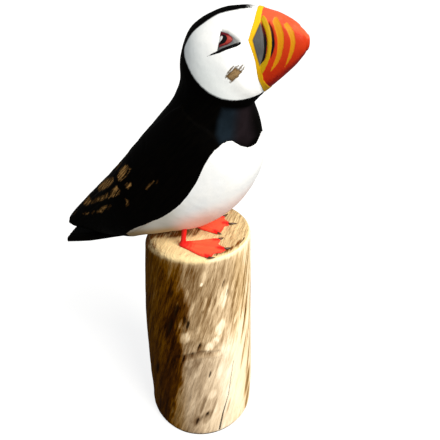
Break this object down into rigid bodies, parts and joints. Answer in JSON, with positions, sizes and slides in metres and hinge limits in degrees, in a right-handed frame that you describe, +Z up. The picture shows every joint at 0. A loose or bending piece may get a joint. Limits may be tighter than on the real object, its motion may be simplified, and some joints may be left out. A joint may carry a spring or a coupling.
{
  "type": "carved wooden puffin on a log",
  "caption": "Carved and painted wooden puffin with folded wings and a tall banded bill, standing on an upright peeled log.",
  "frame": {"origin": "the centre of the log's foot, on the surface it stands on", "axes": "+Z up the log, +X the way the bird faces, +Y to the bird's left"},
  "size_m": [0.1944, 0.098, 0.3873],
  "materials": {
    "log_wood": "bare, weathered, with brown inner bark",
    "white_paint": "white paint, satin",
    "black_paint": "black paint, satin",
    "slate_grey": "slate grey paint, satin",
    "bill_orange": "orange-red paint, satin",
    "bill_yellow": "yellow paint, satin",
    "foot_red": "orange-red paint, satin",
    "claw_black": "dark brown paint"
  },
  "bodies": {
    "root": {"log_post": "log_wood", "breast_and_belly": "white_paint", "mantle": "black_paint", "neck": "black_paint", "head": "black_paint", "face_left": "white_paint", "face_right": "white_paint", "eye_left": "slate_grey", "eye_right": "slate_grey", "bill_root": "bill_yellow", "bill_plate_left": "slate_grey", "bill_plate_right": "slate_grey", "bill": "bill_orange", "wing_left": "black_paint", "wing_right": "black_paint", "tail": "black_paint", "leg_left": "foot_red", "leg_right": "foot_red", "foot_left": "foot_red", "foot_right": "foot_red", "claw_left_inner": "claw_black", "claw_left_middle": "claw_black", "claw_left_outer": "claw_black", "claw_right_inner": "claw_black", "claw_right_middle": "claw_black", "claw_right_outer": "claw_black"}
  },
  "joints": []
}
